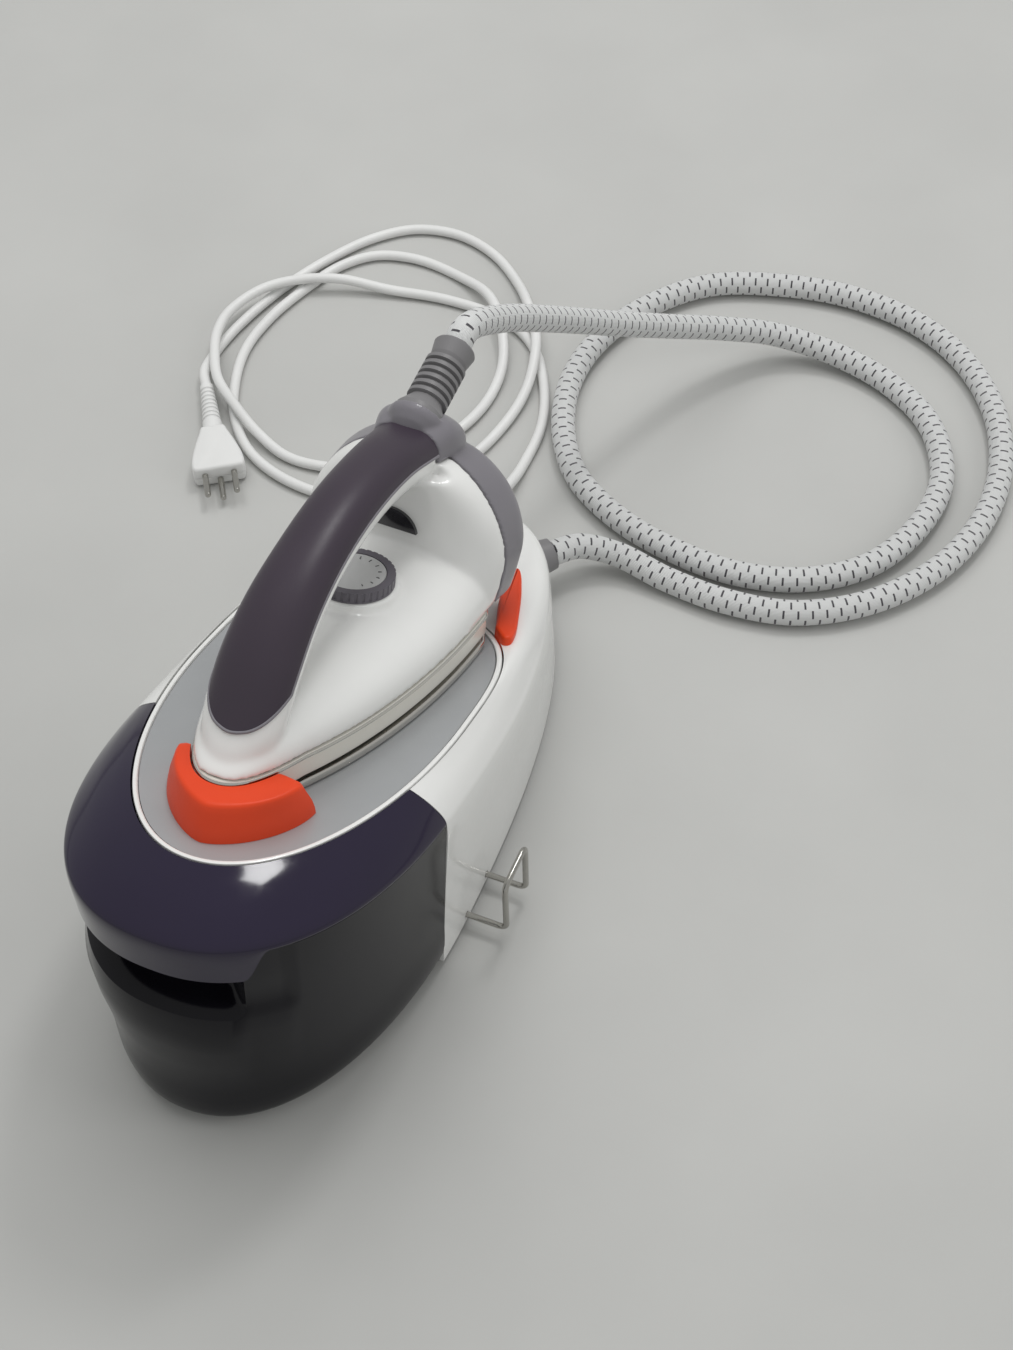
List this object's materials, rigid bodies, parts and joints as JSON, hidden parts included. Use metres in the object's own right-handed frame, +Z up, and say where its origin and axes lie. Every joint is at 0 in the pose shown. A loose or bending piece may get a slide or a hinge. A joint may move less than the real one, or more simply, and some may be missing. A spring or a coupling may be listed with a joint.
{
  "type": "steam ironing station",
  "caption": "Steam ironing station: wedge-shaped base with pull-out front tank, sloping rest tray, iron with arched handle, woven steam hose and coiled mains lead.",
  "frame": {"origin": "on the floor under the middle of the base, without the cords' pieces", "axes": "+Z up; -Y towards the tank's front, +Y towards the rear wall where hose and lead leave; +X towards the side with the hose hook"},
  "size_m": [0.5474, 0.731, 0.2414],
  "materials": {
    "white_gloss": "gloss",
    "purple_gloss": "gloss",
    "smoked": "gloss",
    "silver_plastic": "satin",
    "orange_plastic": "satin",
    "dark_plastic": "satin",
    "rubber": "matt",
    "steel": "brushed",
    "nickel": "polished",
    "casting": "cast",
    "clear_tube": "satin",
    "board": "satin",
    "white_matte": "satin",
    "hose_fabric": "woven",
    "cream": "pearl",
    "purple_satin": "satin",
    "grey_plastic": "satin",
    "grey_rubber": "satin",
    "black_gloss": "gloss"
  },
  "bodies": {
    "base": {"base_pan": "dark_plastic", "feet": "rubber", "housing": "white_gloss", "tray": "silver_plastic", "tray_rim": "white_gloss", "front_stop": "orange_plastic", "rear_pads": "orange_plastic", "valve_seat": "dark_plastic", "valve_seal": "rubber", "pump": "steel", "pump_mounts": "rubber", "pump_inlet_tube": "clear_tube", "pump_outlet_tube": "clear_tube", "control_board": "board", "board_parts": "dark_plastic", "base_screws": "steel", "hook_guides": "dark_plastic", "hose_gland": "white_matte", "lead_gland": "white_matte", "mains_lead": "white_matte", "plug_body": "white_matte", "plug_pins": "nickel"},
    "tank": {"tank_body": "smoked", "tank_collar": "purple_gloss", "tank_lid": "purple_gloss", "fill_plug": "rubber", "tank_valve": "dark_plastic"},
    "hook": {"hose_hook": "nickel"},
    "iron": {"soleplate": "steel", "heater_casting": "casting", "heat_skirt": "cream", "iron_body": "white_gloss", "handle_grip": "purple_satin", "grip_trim": "grey_plastic", "rear_cover": "grey_plastic", "hose_boot": "grey_rubber", "indicator_lens": "black_gloss", "thermostat": "casting", "steam_tube": "clear_tube", "terminal_block": "cream", "micro_switch": "black_gloss", "iron_screws": "steel", "steam_hose": "hose_fabric"},
    "dial": {"dial_ring": "grey_plastic", "dial_disc": "silver_plastic", "dial_spindle": "steel"},
    "trigger": {"steam_trigger": "grey_plastic"}
  },
  "joints": [
    {"name": "tank_slide", "type": "slide", "parent": "base", "child": "tank", "axis": [0, -1, 0], "range_m": [0, 0.15]},
    {"name": "hook_slide", "type": "slide", "parent": "base", "child": "hook", "axis": [-1, 0, 0], "range_m": [0, 0.016]},
    {"name": "iron_lift", "type": "slide", "parent": "base", "child": "iron", "axis": [0, 0.309, 0.9511], "range_m": [0, 0.12]},
    {"name": "dial_turn", "type": "hinge", "parent": "iron", "child": "dial", "pos_m": [-0.01369, 0.0374, 0.17139], "axis": [0, 0.309, 0.9511], "range_deg": [0, 270]},
    {"name": "trigger_press", "type": "slide", "parent": "iron", "child": "trigger", "axis": [0, 0.309, 0.9511], "range_m": [0, 0.004], "stiffness_N_per_m": 500, "springref_m": -0.003}
  ]
}
